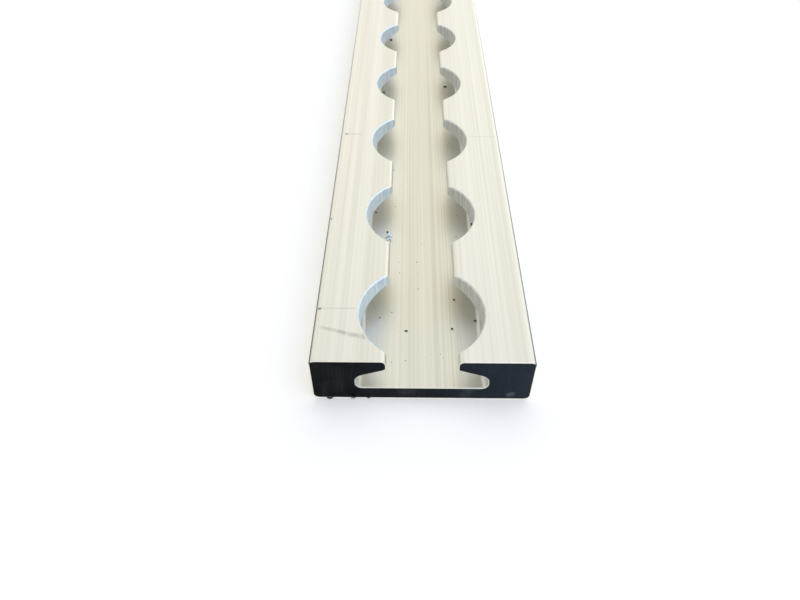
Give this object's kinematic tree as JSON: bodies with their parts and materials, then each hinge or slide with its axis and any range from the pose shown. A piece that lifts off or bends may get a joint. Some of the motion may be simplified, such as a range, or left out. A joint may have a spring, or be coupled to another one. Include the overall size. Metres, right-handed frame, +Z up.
{
  "type": "aluminium extrusion profile",
  "caption": "Flat aluminium lashing rail: an extruded bar with an undercut slot between tapered lips, opened by a row of round stud holes for drop-in fittings.",
  "frame": {"origin": "centre of the underside", "axes": "+Y along the rail, away from the end nearest the picture's camera; +X to the right across it; +Z up, out of the open slot"},
  "size_m": [0.034, 0.3, 0.009],
  "materials": {
    "mill_aluminium": "mill finish as extruded, with fine lines along the length; both sawn ends dark"
  },
  "bodies": {
    "root": {"rail": "mill_aluminium"}
  },
  "joints": []
}
